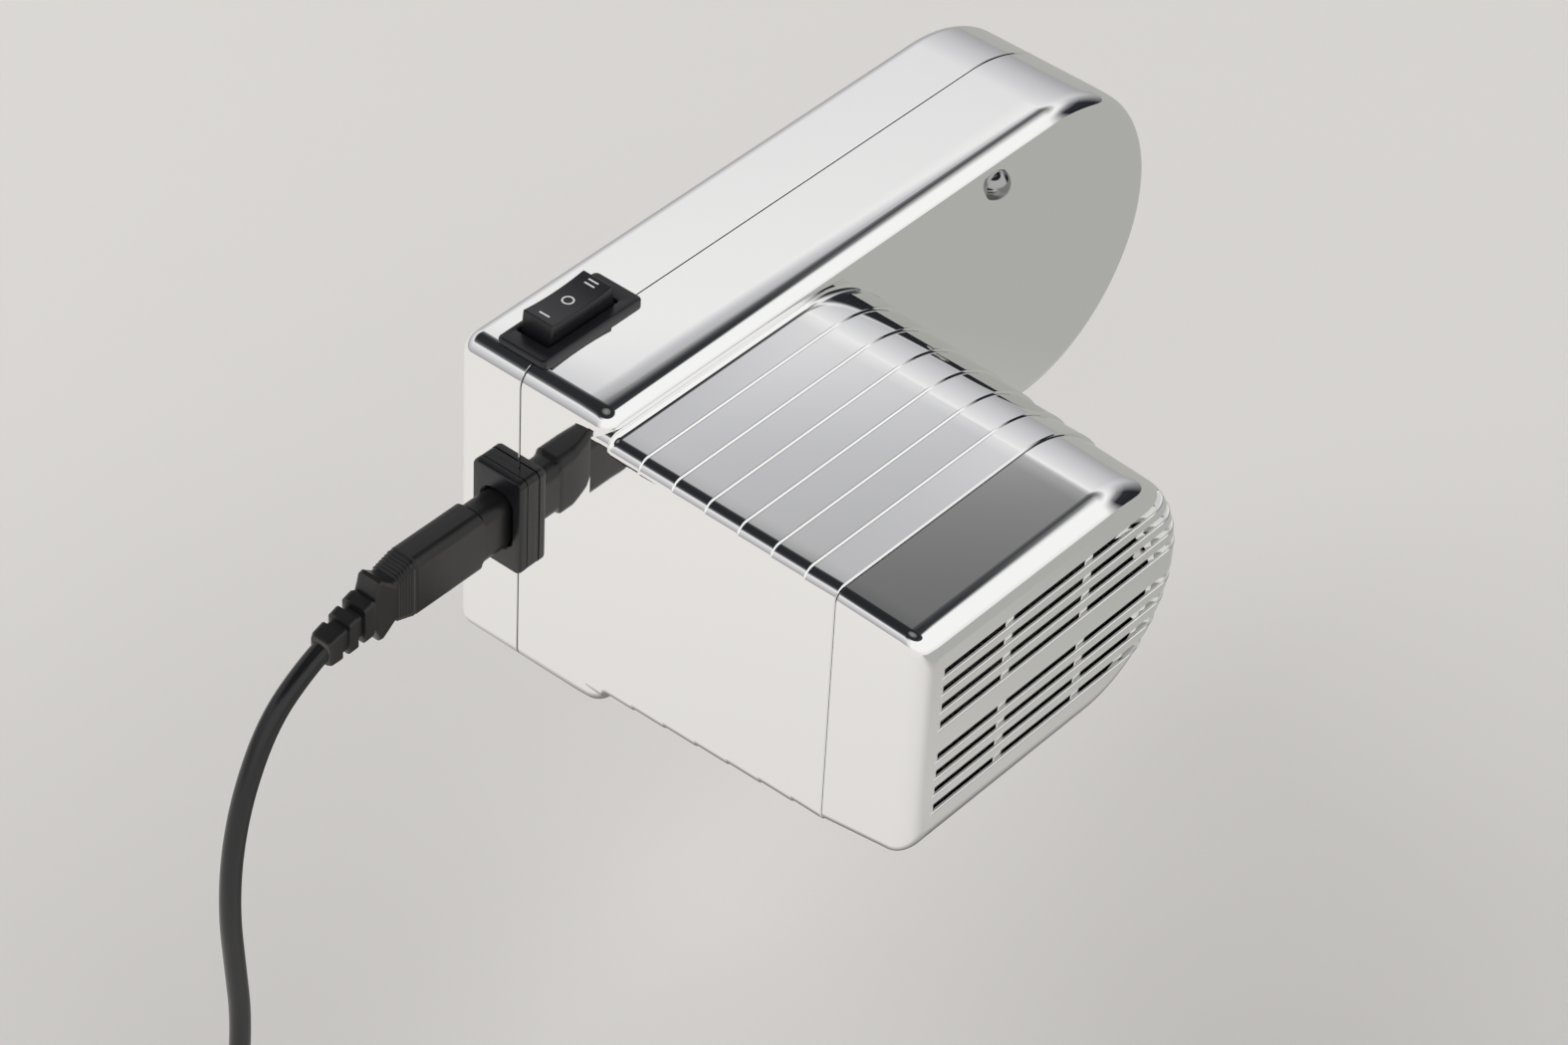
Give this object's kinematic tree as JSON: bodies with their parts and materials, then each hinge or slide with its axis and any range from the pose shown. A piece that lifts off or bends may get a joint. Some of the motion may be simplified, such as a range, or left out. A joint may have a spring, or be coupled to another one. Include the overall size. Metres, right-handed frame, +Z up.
{
  "type": "pasta machine motor drive",
  "caption": "Chrome-plated motor drive for a pasta machine: flat gear case with one round end, stepped motor barrel with slotted cap, rocker switch, mains inlet and lead.",
  "frame": {"origin": "shoulder of the drive shaft, on the shaft's axis", "axes": "+X along the drive shaft from the machine towards the slotted cap, +Y along the gear case towards its round end, +Z up"},
  "size_m": [0.1589, 0.4059, 0.2054],
  "materials": {
    "chrome_plate": "bright chrome plate on moulded plastic",
    "steel": "turned steel",
    "sintered_bronze": "sintered bronze",
    "copper": "enamelled copper wire and copper bars",
    "black_plastic": "satin black moulded plastic",
    "black_cord": "smooth black PVC",
    "nylon": "natural nylon",
    "carbon": "pressed carbon",
    "lamination": "stacked electrical sheet",
    "zinc": "die-cast zinc",
    "brass_pin": "nickel-plated brass",
    "capacitor_resin": "moulded resin"
  },
  "bodies": {
    "housing": {"gear_cover": "chrome_plate", "main_housing": "chrome_plate", "end_cap": "chrome_plate", "anchor_bolt": "steel", "locating_pin": "steel", "cover_screws": "steel", "switch_body": "black_plastic", "switch_terminals": "brass_pin", "inlet_frame": "black_plastic", "inlet_socket": "black_plastic", "inlet_pins": "brass_pin", "suppressor_capacitor": "capacitor_resin", "stator_core": "lamination", "field_coils": "copper", "brush_holders": "brass_pin", "carbon_brushes": "carbon", "front_bracket": "zinc", "rear_bracket": "zinc", "front_bush": "sintered_bronze", "rear_bush": "sintered_bronze", "motor_screws": "steel", "gear_a_pin": "steel", "gear_b_pin": "steel", "output_bush_inner": "sintered_bronze", "output_bush_outer": "sintered_bronze"},
    "switch": {"switch_rocker": "black_plastic"},
    "rotor": {"motor_shaft": "steel", "armature_core": "lamination", "armature_windings": "copper", "commutator": "copper", "cooling_fan": "nylon", "motor_pinion": "steel"},
    "first_gear": {"gear_a": "nylon"},
    "second_gear": {"gear_b": "nylon"},
    "output": {"output_gear": "steel", "output_shaft": "steel", "drive_key": "steel", "retaining_ring": "steel"},
    "lead": {"lead_connector": "black_plastic", "cord_run": "black_cord", "cord_coil": "black_cord", "cord_tie": "black_plastic", "mains_plug": "black_plastic", "mains_plug_pins": "brass_pin"}
  },
  "joints": [
    {"name": "rocker_tilt", "type": "hinge", "parent": "housing", "child": "switch", "pos_m": [0.01515, -0.13925, 0.04475], "axis": [1, 0, 0], "range_deg": [-10, 10]},
    {"name": "rotor_spin", "type": "hinge", "parent": "housing", "child": "rotor", "pos_m": [0.07, -0.1135, 0], "axis": [1, 0, 0], "continuous": true},
    {"name": "first_gear_spin", "type": "hinge", "parent": "housing", "child": "first_gear", "pos_m": [0.03, -0.077, 0], "axis": [1, 0, 0], "continuous": true},
    {"name": "second_gear_spin", "type": "hinge", "parent": "housing", "child": "second_gear", "pos_m": [0.02, -0.042, 0], "axis": [1, 0, 0], "continuous": true},
    {"name": "output_spin", "type": "hinge", "parent": "housing", "child": "output", "pos_m": [0, 0, 0], "axis": [1, 0, 0], "continuous": true},
    {"name": "lead_unplug", "type": "slide", "parent": "housing", "child": "lead", "axis": [0, -1, 0], "range_m": [0, 0.02]}
  ],
  "couplings": [
    {"joint": "first_gear_spin", "follows": "rotor_spin", "ratio": -0.21667},
    {"joint": "second_gear_spin", "follows": "rotor_spin", "ratio": 0.054167},
    {"joint": "output_spin", "follows": "rotor_spin", "ratio": -0.018056}
  ]
}
